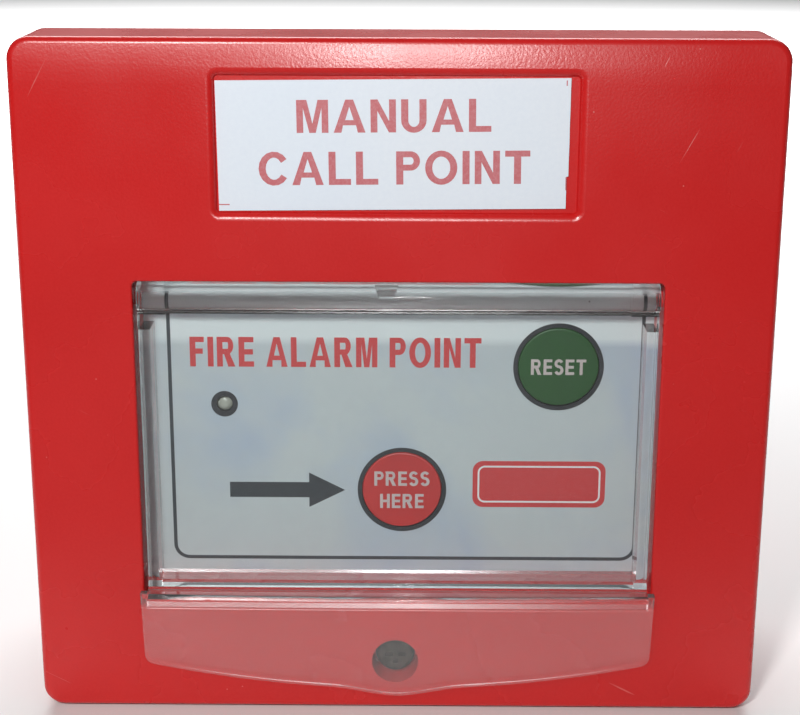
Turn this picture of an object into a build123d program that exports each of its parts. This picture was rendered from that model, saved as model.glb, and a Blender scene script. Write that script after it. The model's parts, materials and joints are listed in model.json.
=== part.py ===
from build123d import *
import os

# Manual call point: a red wall box with a red front cover, a clear lift-up flap over a white
# facia, two push buttons, a status lamp and the circuit board behind them.
#
# Frame: the origin is the centre of the rear wall face, +X is to the right as seen by a person
# facing the call point, +Z is up, and the front faces -Y. All sizes are millimetres.
# Places along Y are written as depths behind the front face of the cover.

# Shared: how far cutters run past the material, how far joined pieces run into each other, and
# how near two places must be to count as one
PAST = 1.0
FUSE = 0.5
NEAR = 0.01

# M3 screws
M3_CLEARANCE = 1.7
M3_RADIUS = 1.5
M3_HEAD_RADIUS = 3.0
M3_HEAD_HEIGHT = 2.3
M3_HEAD_DOME = 0.9
M3_TIP_CHAMFER = 0.3
CROSS_LENGTH = 3.2
CROSS_WIDTH = 0.8
CROSS_FLOOR = 1.1
SCREW_TIP_ROOM = 2.0

# Overall
FACE_WIDTH = 110.0
FACE_HEIGHT = 103.0
TOTAL_DEPTH = 45.0
FACE_CORNER = 3.2
FACE_EDGE = 1.0
ROLL_RADIUS = 42.0
ROLL_START = 45.2
FACE_BAND = 0.8
ROLL_BAND = 0.2

# Front cover
COVER_DEPTH = 13.0
COVER_DRAFT = 0.5
COVER_WALL = 2.2
COVER_PLATE = 2.5
RECESS_WIDTH = 51.4
RECESS_HEIGHT = 19.4
RECESS_DEPTH = 0.9
RECESS_SLOPE = 20.0
RECESS_EDGE = 1.2
RECESS_CORNER = 0.5
RECESS_X = -0.25
RECESS_Z = 36.5
LABEL_WIDTH = 50.1
LABEL_HEIGHT = 18.6
LABEL_THICKNESS = 0.3
LABEL_X = -0.75
LABEL_Z = 36.5
LABEL_TURN = 0.6

# Window in the cover, with a rebate that the flap closes against
WINDOW_HALF = 38.6
WINDOW_TOP = 16.6
WINDOW_SILL = -32.8
REBATE_SILL = -34.3
REBATE_DEPTH = 2.6
WINDOW_WALL = 2.2
WINDOW_WALL_DEPTH = 10.0
WINDOW_WALL_CORNER = 2.0
WINDOW_CORNER = 0.8
WINDOW_EDGE = 0.4

# Cover screw
SCREW_X = -0.3
SCREW_Z = -43.0
COUNTERBORE_RADIUS = 3.55
COUNTERBORE_DEPTH = 4.9
SCREW_BOSS_RADIUS = 4.7
SCREW_BOSS_END = 7.7
COVER_SCREW_LENGTH = 12.0
INSERT_RADIUS = 2.3
INSERT_LENGTH = 6.0
INSERT_POST_RADIUS = 4.2
POST_FRONT = 8.0

# Flap hinge
HINGE_Z = 13.8
HINGE_DEPTH = 2.65
KNUCKLE_RADIUS = 2.35
PIN_RADIUS = 1.2
PIN_CLEARANCE = 0.05
PIN_REACH = 1.9
PIN_END_GAP = 0.3
COLLAR_RADIUS = 2.5
COLLAR_LENGTH = 4.0
HINGE_BOSS_RADIUS = 2.4
HINGE_BOSS_REACH = 3.6

# Flap
FLAP_HALF = 38.1
FLAP_FRONT = 0.3
FLAP_PLATE = 2.0
FLAP_BOTTOM = -33.9
RETURN_WALL = 1.6
RETURN_DEPTH = 5.0
RETURN_TOP = 9.0
SILL_RETURN_BOTTOM = -32.2
SILL_RETURN_DEPTH = 4.0
TAB_REAR = -0.6
TAB_FRONT_SIDE = -2.3
TAB_FRONT_MIDDLE = -3.0
TAB_TOP = -31.6
TAB_TOP_HALF = 39.0
TAB_BOTTOM_HALF = 38.6
TAB_CORNER_Z = -42.9
TAB_MIDDLE_Z = -46.8
TAB_CORNER = 1.6
LOBE_HALF = 11.0
LOBE_DROP = 1.15
TAB_EDGE = 0.6
TAB_INNER = 0.5
FLAP_EDGE = 0.5
NOTCH_X = -1.7
NOTCH_TOP = 3.6
NOTCH_BOTTOM = 2.2
NOTCH_HEIGHT = 2.0
NOTCH_DEPTH = 1.3

# Back box
BOX_WIDTH = 104.4
BOX_HEIGHT = 97.4
BOX_FRONT = 8.0
BOX_WALL = 2.2
BOX_BASE = 2.5
BOX_CORNER = 3.0
BOX_INNER_CORNER = 1.5
BOX_REAR_EDGE = 1.2
HOOK_X = 30.0
HOOK_WIDTH = 8.0
HOOK_DEPTH = 10.2
HOOK_THICKNESS = 1.6
HOOK_REACH = 1.4
HOOK_CLEARANCE = 0.4
WALL_HOLE_SPACING = 60.0
WALL_HOLE_RADIUS = 2.25
CABLE_HOLE_RADIUS = 6.35
CABLE_HOLE_DEPTH = 22.5
KNOCKOUT_RADIUS = 10.0
KNOCKOUT_CENTRE = 28.0
KNOCKOUT_GROOVE = 0.8
KNOCKOUT_DEPTH = 1.2

# Cable grommet
GROMMET_FLANGE = 8.2
GROMMET_FLANGE_THICKNESS = 1.3
GROMMET_EDGE = 0.8
GROMMET_BORE = 3.5

# Facia
FACIA_FRONT = 10.6
FACIA_THICKNESS = 2.0
FACIA_HALF = 48.0
FACIA_TOP = 24.0
FACIA_BOTTOM = -37.0
FACIA_CORNER = 2.0
OVERLAY_THICKNESS = 0.3
OVERLAY_HALF = 41.0
OVERLAY_TOP = 22.5
OVERLAY_BOTTOM = -36.0
OVERLAY_CORNER = 1.0
FACIA_SCREW_X = 44.6
FACIA_SCREW_LOW = -32.0
FACIA_SCREW_HIGH = 20.0
FACIA_SCREW_LENGTH = 10.0
FACIA_POST_RADIUS = 3.4

# Push buttons: name, place, both of one size
BUTTONS = {"press": (0.6, -18.8), "reset": (24.4, 1.25)}
BUTTON_RADIUS = 6.15
BEZEL_INNER = 6.25
BEZEL_OUTER = 6.9
BEZEL_PROUD = 0.1
BUTTON_PROUD = 0.1
BUTTON_SKIRT_RADIUS = 7.4
BUTTON_SKIRT_THICKNESS = 0.8
BUTTON_SKIRT_GAP = 0.2
BUTTON_EDGE = 0.25
BUTTON_TRAVEL = 1.0
BUTTON_STEM = 2.8
PLUNGER_HALF = 1.9
PLUNGER_CLEARANCE = 0.1
PLUNGER_PROUD = 3.0
SWITCH_SIZE = 12.0
SWITCH_HEIGHT = 4.3
SWITCH_CORNER = 0.6
SWITCH_FLOOR = 0.5
SWITCH_LEG_INSET = 0.8
SWITCH_LEG_Z = 2.5
SWITCH_LEG_WIDTH = 0.7
SWITCH_LEG_HEIGHT = 0.4
SPRING_OUTER = 4.6
SPRING_INNER = 3.9

# Status lamp
LAMP_X = -26.7
LAMP_Z = -4.9
LAMP_RADIUS = 1.5
LAMP_APERTURE = 1.25
LAMP_NOSE_DEPTH = 0.2
LAMP_RIM_RADIUS = 1.9
LAMP_RIM_GAP = 1.2
LAMP_RIM_THICKNESS = 1.0
LAMP_LEAD_RADIUS = 0.25
LAMP_BEZEL_RADIUS = 2.05
LAMP_BEZEL_LIP = 0.7
LAMP_BEZEL_REACH = 0.8
LAMP_CLEARANCE = 0.05

# Circuit board
BOARD_FRONT = 21.0
BOARD_THICKNESS = 1.6
BOARD_HALF = 40.0
BOARD_TOP = 41.0
BOARD_BOTTOM = -31.0
BOARD_CORNER = 1.0
BOARD_SCREW_X = 36.0
BOARD_SCREW_LOW = -27.0
BOARD_SCREW_HIGH = 21.0
BOARD_SCREW_LENGTH = 8.0
BOARD_POST_RADIUS = 3.0
PIN_TAIL = 1.4
LEAD_RADIUS = 0.3
LEAD_PITCH = 10.16
LEAD_HALF_PITCH = 1.27
SWITCH_HOLE = 0.5
LAMP_HOLE = 0.4
LEAD_HOLE = 0.45
PIN_HOLE = 0.7

# Terminal block and components
TERMINAL_PITCH = 5.08
TERMINAL_COUNT = 4
TERMINAL_X = 8.0
TERMINAL_Z = 34.0
TERMINAL_HEIGHT = 10.5
TERMINAL_BODY = 9.0
TERMINAL_EDGE = 0.5
TERMINAL_WELL_RADIUS = 1.95
TERMINAL_WELL_DEPTH = 6.0
TERMINAL_MOUTH_HALF = 1.7
TERMINAL_MOUTH_DEPTHS = (6.2, 9.4)
TERMINAL_SCREW_RADIUS = 1.8
TERMINAL_SCREW_DEPTH = 1.2
TERMINAL_SCREW_LENGTH = 4.8
TERMINAL_SLOT_HALF = 0.35
TERMINAL_SLOT_DEPTH = 0.9
BOARD_PIN_RADIUS = 0.5
RELAY_X = -27.0
RELAY_Z = 33.0
RELAY_SIZE = (19.0, 15.5, 15.0)
RELAY_CORNER = 0.8
RELAY_EDGE = 0.6
RELAY_PINS = ((-7.5, 0.0), (-5.5, 5.0), (-5.5, -5.0), (6.5, 5.0), (6.5, -5.0))
CAPACITOR_X = 30.0
CAPACITOR_Z = 33.0
CAPACITOR_RADIUS = 3.15
CAPACITOR_HEIGHT = 11.0
CAPACITOR_EDGE = 0.5
CAPACITOR_STANDOFF = 0.3
RESISTOR_PLACES = ((-30.0, 14.0), (-18.0, 14.0), (-6.0, 14.0), (6.0, 14.0), (-22.0, -22.0))
RESISTOR_RADIUS = 1.15
RESISTOR_LENGTH = 6.3
DIODE_PLACE = (20.0, 14.0)
DIODE_RADIUS = 1.3
DIODE_LENGTH = 5.0
AXIAL_STANDOFF = 0.3
AXIAL_LEG_RADIUS = 0.33
CHIP_X = -8.0
CHIP_Z = 3.0
CHIP_LENGTH = 9.5
CHIP_WIDTH = 6.4
CHIP_DEPTHS = (3.8, 0.5)
CHIP_EDGE = 0.3
CHIP_PITCH = 2.54
CHIP_ROW = 3.81
CHIP_SHOULDER = 0.8
CHIP_LEG_DEPTHS = (2.2, 1.9)
CHIP_LEG_TAIL = 3.0
CHIP_LEG_HALF = 0.12

# Places that follow from the values above
COVER_FUSE = COVER_PLATE - FUSE
FILM_FRONT = FACIA_FRONT - OVERLAY_THICKNESS
FACIA_REAR = FACIA_FRONT + FACIA_THICKNESS
BOARD_REAR = BOARD_FRONT + BOARD_THICKNESS
TAIL_END = BOARD_REAR + PIN_TAIL
SKIRT_FRONT = FACIA_REAR + BUTTON_SKIRT_GAP
SKIRT_REAR = SKIRT_FRONT + BUTTON_SKIRT_THICKNESS
SWITCH_FRONT = BOARD_FRONT - SWITCH_HEIGHT
PLUNGER_FRONT = SWITCH_FRONT - PLUNGER_PROUD
PLUNGER_REAR = BOARD_FRONT - SWITCH_FLOOR - BUTTON_TRAVEL - PLUNGER_CLEARANCE


def face_plane(depth):
    """A plane parallel to the front face, with local X to the right and local Y up."""
    return Plane.XZ.offset(TOTAL_DEPTH - depth)


def prism(sketch, near, far, taper=0.0):
    """A sketch drawn on the front face, pushed from one depth to a greater one."""
    return extrude(face_plane(near) * sketch, amount=-(far - near), taper=taper)


def plate(left, right, bottom, top, near, far, corner=0.0):
    """A rectangular plate parallel to the front face."""
    width = right - left
    height = top - bottom
    if corner:
        outline = RectangleRounded(width, height, corner)
    else:
        outline = Rectangle(width, height)
    return prism(Pos((left + right) / 2, (bottom + top) / 2) * outline, near, far)


def post(x, z, radius, near, far):
    """A round post or hole along Y."""
    return prism(Pos(x, z) * Circle(radius), near, far)


def tube(x, z, outer, inner, near, far):
    """A ring along Y."""
    return prism(Pos(x, z) * (Circle(outer) - Circle(inner)), near, far)


def bar_x(depth, z, radius, left, right):
    """A round bar along X."""
    plane = Plane(origin=(left, depth - TOTAL_DEPTH, z), x_dir=(0, 1, 0), z_dir=(1, 0, 0))
    return extrude(plane * Circle(radius), amount=right - left)


def bar_z(x, depth, radius, bottom, top):
    """A round bar along Z."""
    section = Plane.XY.offset(bottom) * Pos(x, depth - TOTAL_DEPTH) * Circle(radius)
    return extrude(section, amount=top - bottom)


def save(name, *solids):
    """Write one sub-part, made of one or more separate solids."""
    shape = solids[0] if len(solids) == 1 else Compound(children=list(solids))
    export_step(shape, f"parts/{name}.step")


def front_edges(shape, depth):
    """The edges of a shape that lie in the plane at a depth."""
    place = depth - TOTAL_DEPTH
    return shape.edges().filter_by_position(Axis.Y, place - NEAR, place + NEAR)


def four_corners(x, low, high):
    """Four places, left and right, low and high."""
    return [(-x, low), (x, low), (-x, high), (x, high)]


def pan_screw(x, z, seat, length):
    """An M3 cross-recess pan head screw pointing to the rear, its head's seat at a depth."""
    head_front = seat - M3_HEAD_HEIGHT
    head = post(x, z, M3_HEAD_RADIUS, head_front, seat)
    head = fillet(front_edges(head, head_front), M3_HEAD_DOME)
    shank = post(x, z, M3_RADIUS, seat, seat + length)
    shank = chamfer(front_edges(shank, seat + length), M3_TIP_CHAMFER)
    cross = Rectangle(CROSS_LENGTH, CROSS_WIDTH) + Rectangle(CROSS_WIDTH, CROSS_LENGTH)
    return head + shank - prism(Pos(x, z) * cross, head_front - PAST, seat - CROSS_FLOOR)


# ---------------------------------------------------------------- cover and its pieces


def roll_depth(height):
    """The depth of the face at a height past the place where it starts to roll back."""
    return ROLL_RADIUS - (ROLL_RADIUS**2 - (height - ROLL_START) ** 2) ** 0.5


def rolled_face():
    """The room behind the face, which rolls back a little along the top and bottom edges."""
    front = -TOTAL_DEPTH
    reach = FACE_HEIGHT / 2 + PAST
    back = front + roll_depth(reach)
    middle = (reach + ROLL_START) / 2
    halfway = front + roll_depth(middle)
    outline = [
        Line((front, -ROLL_START), (front, ROLL_START)),
        ThreePointArc((front, ROLL_START), (halfway, middle), (back, reach)),
        Line((back, reach), (0, reach)),
        Line((0, reach), (0, -reach)),
        Line((0, -reach), (back, -reach)),
        ThreePointArc((back, -reach), (halfway, -middle), (front, -ROLL_START)),
    ]
    side = Plane(origin=(-FACE_WIDTH, 0, 0), x_dir=(0, 1, 0), z_dir=(1, 0, 0))
    return extrude(side * make_face(Curve() + outline), amount=2 * FACE_WIDTH)


def cover_shell():
    """The outer skin: a shallow tray with a soft front edge."""
    outline = RectangleRounded(FACE_WIDTH, FACE_HEIGHT, FACE_CORNER)
    shell = prism(outline, 0, COVER_DEPTH, -COVER_DRAFT) & rolled_face()
    front = shell.edges().filter_by(lambda edge: edge.center().Y < FACE_BAND - TOTAL_DEPTH)
    side = FACE_WIDTH / 2 - FACE_CORNER
    end = FACE_HEIGHT / 2 - PAST
    rim = front.filter_by(lambda edge: abs(edge.center().X) > side or abs(edge.center().Z) > end)
    shell = fillet(rim, FACE_EDGE)
    inside = RectangleRounded(
        FACE_WIDTH - 2 * COVER_WALL, FACE_HEIGHT - 2 * COVER_WALL, FACE_CORNER - COVER_WALL / 2
    )
    return shell - prism(inside, COVER_PLATE, COVER_DEPTH + PAST, -COVER_DRAFT)


def label_recess():
    """The shallow pocket for the title label, wider at the face than at its floor."""
    floor = Pos(RECESS_X, RECESS_Z) * RectangleRounded(RECESS_WIDTH, RECESS_HEIGHT, RECESS_CORNER)
    return extrude(face_plane(RECESS_DEPTH) * floor, amount=RECESS_DEPTH + FUSE, taper=-RECESS_SLOPE)


def window_cut():
    """The window through the cover, deeper below at the front where the flap closes."""
    upper = plate(-WINDOW_HALF, WINDOW_HALF, WINDOW_SILL, WINDOW_TOP, -PAST, COVER_DEPTH, WINDOW_CORNER)
    rebate = plate(-WINDOW_HALF, WINDOW_HALF, REBATE_SILL, WINDOW_TOP, -PAST, REBATE_DEPTH, WINDOW_CORNER)
    return upper + rebate


def hook(side):
    """A nib inside the cover's top wall that catches in the box."""
    root = FACE_HEIGHT / 2 - COVER_WALL + FUSE
    tip = BOX_HEIGHT / 2 - HOOK_REACH
    left = side * HOOK_X - HOOK_WIDTH / 2
    return plate(left, left + HOOK_WIDTH, tip, root, HOOK_DEPTH, HOOK_DEPTH + HOOK_THICKNESS)


def window_wall():
    """The wall around the window, behind the face, still without its opening."""
    across = WINDOW_HALF + WINDOW_WALL
    low = REBATE_SILL - WINDOW_WALL
    high = WINDOW_TOP + WINDOW_WALL
    return plate(-across, across, low, high, COVER_FUSE, WINDOW_WALL_DEPTH, WINDOW_WALL_CORNER)


def hinge_bar(radius, side, start, end):
    """A round bar on the hinge's axis, on one side, between two distances from the middle."""
    near, far = sorted((side * start, side * end))
    return bar_x(HINGE_DEPTH, HINGE_Z, radius, near, far)


def opening_edges(cover, half, low, high):
    """The rims of openings in the face, within half a width and between two heights."""
    front = cover.edges().filter_by_position(Axis.Y, -TOTAL_DEPTH - NEAR, -TOTAL_DEPTH + ROLL_BAND)
    return front.filter_by(lambda edge: abs(edge.center().X) < half and low < edge.center().Z < high)


def front_cover():
    cover = cover_shell() + window_wall()
    cover += post(SCREW_X, SCREW_Z, SCREW_BOSS_RADIUS, COVER_FUSE, SCREW_BOSS_END)
    for side in (-1, 1):
        cover += hook(side)
        cover += hinge_bar(HINGE_BOSS_RADIUS, side, WINDOW_HALF + FUSE, WINDOW_HALF + HINGE_BOSS_REACH)
    cover -= window_cut()
    for side in (-1, 1):
        hole_end = FLAP_HALF + PIN_REACH + PIN_END_GAP
        cover -= hinge_bar(PIN_RADIUS + PIN_CLEARANCE, side, WINDOW_HALF - PAST, hole_end)
    cover -= label_recess()
    cover -= post(SCREW_X, SCREW_Z, COUNTERBORE_RADIUS, -PAST, COUNTERBORE_DEPTH)
    cover -= post(SCREW_X, SCREW_Z, M3_CLEARANCE, -PAST, COVER_DEPTH)
    above = WINDOW_TOP + PAST
    recess_rim = opening_edges(cover, RECESS_WIDTH / 2 + RECESS_EDGE, above, FACE_HEIGHT / 2 - PAST)
    cover = fillet(recess_rim, RECESS_EDGE)
    return fillet(opening_edges(cover, WINDOW_HALF + PAST, REBATE_SILL - PAST, above), WINDOW_EDGE)


def title_label():
    """The printed sticker, put on by hand and so turned a little."""
    outline = Pos(LABEL_X, LABEL_Z) * Rot(0, 0, LABEL_TURN) * Rectangle(LABEL_WIDTH, LABEL_HEIGHT)
    return prism(outline, RECESS_DEPTH - LABEL_THICKNESS, RECESS_DEPTH)


# ---------------------------------------------------------------- flap


def tab_outline():
    """The finger tab seen from the front: bowed along the bottom, with a lobe in the middle."""
    corner = (TAB_BOTTOM_HALF, TAB_CORNER_Z)
    bow = (TAB_MIDDLE_Z - TAB_CORNER_Z) / TAB_BOTTOM_HALF**2
    lobe_z = TAB_MIDDLE_Z - bow * LOBE_HALF**2
    quarter = (TAB_BOTTOM_HALF + LOBE_HALF) / 2
    quarter_z = TAB_MIDDLE_Z - bow * quarter**2
    slope = -2 * bow * LOBE_HALF
    edge = [
        Line((-TAB_TOP_HALF, TAB_TOP), (TAB_TOP_HALF, TAB_TOP)),
        Line((TAB_TOP_HALF, TAB_TOP), corner),
        ThreePointArc(corner, (quarter, quarter_z), (LOBE_HALF, lobe_z)),
        Spline(
            (LOBE_HALF, lobe_z),
            (0, TAB_MIDDLE_Z - LOBE_DROP),
            (-LOBE_HALF, lobe_z),
            tangents=((-1, -slope), (-1, slope)),
        ),
        ThreePointArc((-LOBE_HALF, lobe_z), (-quarter, quarter_z), (-corner[0], corner[1])),
        Line((-corner[0], corner[1]), (-TAB_TOP_HALF, TAB_TOP)),
    ]
    outline = make_face(Curve() + edge)
    corners = outline.vertices().filter_by(lambda v: abs(abs(v.X) - TAB_BOTTOM_HALF) < NEAR)
    return fillet(corners, TAB_CORNER)


def tab():
    """The finger tab: it lies over the cover's face and bulges a little towards the middle."""
    side = TAB_FRONT_SIDE - TOTAL_DEPTH
    middle = TAB_FRONT_MIDDLE - TOTAL_DEPTH
    rear = TAB_REAR - TOTAL_DEPTH
    reach = TAB_TOP_HALF + PAST
    lowest = TAB_MIDDLE_Z - LOBE_DROP - PAST
    crown = make_face(
        Curve()
        + [
            ThreePointArc((-reach, side), (0, middle), (reach, side)),
            Line((reach, side), (reach, rear)),
            Line((reach, rear), (-reach, rear)),
            Line((-reach, rear), (-reach, side)),
        ]
    )
    crown = extrude(Plane.XY.offset(lowest) * crown, amount=TAB_TOP + PAST - lowest)
    shape = crown & prism(tab_outline(), TAB_FRONT_MIDDLE - PAST, TAB_REAR)
    front = shape.edges().filter_by(lambda edge: edge.bounding_box().max.Y < side + NEAR)
    return fillet(front, TAB_EDGE)


def gate_notch():
    """The moulding gate's notch in the top of the knuckle."""
    top = HINGE_Z + KNUCKLE_RADIUS
    low = top - NOTCH_HEIGHT
    corners = [
        (NOTCH_X - NOTCH_TOP / 2, top),
        (NOTCH_X + NOTCH_TOP / 2, top),
        (NOTCH_X + NOTCH_BOTTOM / 2, low),
        (NOTCH_X - NOTCH_BOTTOM / 2, low),
    ]
    front = HINGE_DEPTH - KNUCKLE_RADIUS
    return prism(make_face(Polyline(*corners, close=True)), front - PAST, front + NOTCH_DEPTH)


def flap_side(side):
    """One side of the flap: the wall that reaches in, and the hinge's collar and pin."""
    near, far = sorted((side * (FLAP_HALF - RETURN_WALL), side * FLAP_HALF))
    rear = FLAP_FRONT + FLAP_PLATE
    wall = plate(near, far, SILL_RETURN_BOTTOM, RETURN_TOP, rear - FUSE, rear + RETURN_DEPTH)
    collar = hinge_bar(COLLAR_RADIUS, side, FLAP_HALF - COLLAR_LENGTH, FLAP_HALF)
    return wall, collar, hinge_bar(PIN_RADIUS, side, FLAP_HALF - COLLAR_LENGTH, FLAP_HALF + PIN_REACH)


def flap():
    """Clear flap: a plate that fills the window, with walls that reach in, and the finger tab."""
    rear = FLAP_FRONT + FLAP_PLATE
    shape = plate(-FLAP_HALF, FLAP_HALF, FLAP_BOTTOM, HINGE_Z, FLAP_FRONT, rear)
    shape += bar_x(HINGE_DEPTH, HINGE_Z, KNUCKLE_RADIUS, -FLAP_HALF, FLAP_HALF)
    shape += plate(-FLAP_HALF, FLAP_HALF, FLAP_BOTTOM, TAB_TOP, TAB_REAR, FLAP_FRONT + FUSE)
    shape += tab()
    sill_top = SILL_RETURN_BOTTOM + RETURN_WALL
    shape += plate(-FLAP_HALF, FLAP_HALF, SILL_RETURN_BOTTOM, sill_top, rear - FUSE, rear + SILL_RETURN_DEPTH)
    for side in (-1, 1):
        for piece in flap_side(side):
            shape += piece
    shape -= gate_notch()
    front = shape.edges().filter_by(lambda edge: abs(edge.center().Y - FLAP_FRONT + TOTAL_DEPTH) < NEAR)
    inner_corner = front.filter_by(
        lambda edge: edge.length > FLAP_HALF and abs(edge.center().Z - TAB_TOP) < NEAR
    )
    shape = fillet(inner_corner, TAB_INNER)
    front = shape.edges().filter_by(lambda edge: abs(edge.center().Y - FLAP_FRONT + TOTAL_DEPTH) < NEAR)
    uprights = front.filter_by(Axis.Z).filter_by(lambda edge: edge.length > FLAP_HALF / 2)
    return fillet(uprights, FLAP_EDGE)


# ---------------------------------------------------------------- back box and its pieces


def hollow_box():
    outline = RectangleRounded(BOX_WIDTH, BOX_HEIGHT, BOX_CORNER)
    inside = RectangleRounded(BOX_WIDTH - 2 * BOX_WALL, BOX_HEIGHT - 2 * BOX_WALL, BOX_INNER_CORNER)
    box = prism(outline, BOX_FRONT, TOTAL_DEPTH)
    box = fillet(front_edges(box, TOTAL_DEPTH), BOX_REAR_EDGE)
    return box - prism(inside, BOX_FRONT - PAST, TOTAL_DEPTH - BOX_BASE)


def screw_posts(places, radius, front, seat, length):
    """Posts on the base for screws whose heads sit at a depth, and the screws' holes."""
    base = TOTAL_DEPTH - BOX_BASE + FUSE
    posts = [post(x, z, radius, front, base) for x, z in places]
    holes = [post(x, z, M3_RADIUS, seat, seat + length + SCREW_TIP_ROOM) for x, z in places]
    return posts, holes


def hook_slot(side):
    """The slot in the top wall that a hook of the cover catches in."""
    half = HOOK_WIDTH / 2 + HOOK_CLEARANCE
    top = BOX_HEIGHT / 2
    near = HOOK_DEPTH - HOOK_CLEARANCE
    far = HOOK_DEPTH + HOOK_THICKNESS + HOOK_CLEARANCE
    return plate(side * HOOK_X - half, side * HOOK_X + half, top - BOX_WALL - PAST, top + PAST, near, far)


def knockout_groove():
    """A round groove in the bottom wall, for a second cable."""
    ring = Circle(KNOCKOUT_RADIUS) - Circle(KNOCKOUT_RADIUS - KNOCKOUT_GROOVE)
    floor = Plane.XY.offset(KNOCKOUT_DEPTH - BOX_HEIGHT / 2)
    return extrude(floor * Pos(0, KNOCKOUT_CENTRE - TOTAL_DEPTH) * ring, amount=-KNOCKOUT_DEPTH - PAST)


def back_box():
    box = hollow_box()
    facia_places = four_corners(FACIA_SCREW_X, FACIA_SCREW_LOW, FACIA_SCREW_HIGH)
    board_places = four_corners(BOARD_SCREW_X, BOARD_SCREW_LOW, BOARD_SCREW_HIGH)
    cover_place = [(SCREW_X, SCREW_Z)]
    sets = [
        screw_posts(cover_place, INSERT_POST_RADIUS, POST_FRONT, COUNTERBORE_DEPTH, COVER_SCREW_LENGTH),
        screw_posts(facia_places, FACIA_POST_RADIUS, FACIA_REAR, FACIA_FRONT, FACIA_SCREW_LENGTH),
        screw_posts(board_places, BOARD_POST_RADIUS, BOARD_REAR, BOARD_FRONT, BOARD_SCREW_LENGTH),
    ]
    for posts, holes in sets:
        for solid in posts:
            box += solid
        for hole in holes:
            box -= hole
    box -= post(SCREW_X, SCREW_Z, INSERT_RADIUS, POST_FRONT - PAST, POST_FRONT + INSERT_LENGTH)
    for side in (-1, 1):
        box -= hook_slot(side)
        wall_hole_x = side * WALL_HOLE_SPACING / 2
        box -= post(wall_hole_x, 0, WALL_HOLE_RADIUS, TOTAL_DEPTH - BOX_BASE - PAST, TOTAL_DEPTH + PAST)
    top = BOX_HEIGHT / 2
    box -= bar_z(0, CABLE_HOLE_DEPTH, CABLE_HOLE_RADIUS, top - BOX_WALL - PAST, top + PAST)
    return box - knockout_groove()


def cable_grommet():
    """Rubber grommet in the top wall, a flange on each side of it."""
    top = BOX_HEIGHT / 2
    bottom = top - BOX_WALL
    flange = GROMMET_FLANGE_THICKNESS
    body = bar_z(0, CABLE_HOLE_DEPTH, CABLE_HOLE_RADIUS, bottom, top)
    outer = bar_z(0, CABLE_HOLE_DEPTH, GROMMET_FLANGE, top, top + flange)
    outer = fillet(outer.edges().group_by(Axis.Z)[-1], GROMMET_EDGE)
    inner = bar_z(0, CABLE_HOLE_DEPTH, GROMMET_FLANGE, bottom - flange, bottom)
    bore = bar_z(0, CABLE_HOLE_DEPTH, GROMMET_BORE, bottom - flange - PAST, top + flange + PAST)
    return body + outer + inner - bore


def threaded_insert():
    return tube(SCREW_X, SCREW_Z, INSERT_RADIUS, M3_RADIUS, POST_FRONT, POST_FRONT + INSERT_LENGTH)


# ---------------------------------------------------------------- facia, buttons and lamp


def facia_holes(near, far):
    """Cutters for the two buttons and the lamp."""
    cut = post(LAMP_X, LAMP_Z, LAMP_BEZEL_RADIUS, near, far)
    for x, z in BUTTONS.values():
        cut += post(x, z, BEZEL_OUTER, near, far)
    return cut


def facia_panel():
    panel = plate(-FACIA_HALF, FACIA_HALF, FACIA_BOTTOM, FACIA_TOP, FACIA_FRONT, FACIA_REAR, FACIA_CORNER)
    panel -= facia_holes(FACIA_FRONT - PAST, FACIA_REAR + PAST)
    for x, z in four_corners(FACIA_SCREW_X, FACIA_SCREW_LOW, FACIA_SCREW_HIGH):
        panel -= post(x, z, M3_CLEARANCE, FACIA_FRONT - PAST, FACIA_REAR + PAST)
    return panel


def facia_overlay():
    """The printed film on the facia."""
    film = plate(
        -OVERLAY_HALF, OVERLAY_HALF, OVERLAY_BOTTOM, OVERLAY_TOP, FILM_FRONT, FACIA_FRONT, OVERLAY_CORNER
    )
    return film - facia_holes(FILM_FRONT - PAST, FACIA_FRONT + PAST)


def button_bezel(x, z):
    return tube(x, z, BEZEL_OUTER, BEZEL_INNER, FILM_FRONT - BEZEL_PROUD, FACIA_REAR)


def button_cap(x, z):
    """A round cap with a retaining skirt behind the facia and a stem down to the switch."""
    near = FILM_FRONT - BUTTON_PROUD
    cap = post(x, z, BUTTON_RADIUS, near, SKIRT_REAR)
    cap = fillet(front_edges(cap, near), BUTTON_EDGE)
    cap += post(x, z, BUTTON_SKIRT_RADIUS, SKIRT_FRONT, SKIRT_REAR)
    return cap + post(x, z, BUTTON_STEM, SKIRT_FRONT, PLUNGER_FRONT)


def switch_plunger(x, z):
    """The square plunger of the switch, resting against the cap's stem."""
    half = PLUNGER_HALF
    return plate(x - half, x + half, z - half, z + half, PLUNGER_FRONT, PLUNGER_REAR)


def switch_legs(x, z):
    """The places of a key switch's four legs."""
    reach = SWITCH_SIZE / 2 - SWITCH_LEG_INSET
    return [(x + dx, z + dz) for dx in (-reach, reach) for dz in (-SWITCH_LEG_Z, SWITCH_LEG_Z)]


def switch_body(x, z):
    """A square key switch with four legs through the board."""
    half = SWITCH_SIZE / 2
    body = plate(x - half, x + half, z - half, z + half, SWITCH_FRONT, BOARD_FRONT, SWITCH_CORNER)
    hole = PLUNGER_HALF + PLUNGER_CLEARANCE
    body -= plate(x - hole, x + hole, z - hole, z + hole, SWITCH_FRONT - PAST, BOARD_FRONT - SWITCH_FLOOR)
    leg = Rectangle(SWITCH_LEG_WIDTH, SWITCH_LEG_HEIGHT)
    for leg_x, leg_z in switch_legs(x, z):
        body += prism(Pos(leg_x, leg_z) * leg, BOARD_FRONT - FUSE, TAIL_END)
    return body


def return_spring(x, z):
    """The sleeve that the coil return spring takes up, between cap and switch."""
    return tube(x, z, SPRING_OUTER, SPRING_INNER, SKIRT_REAR, SWITCH_FRONT)


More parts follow.
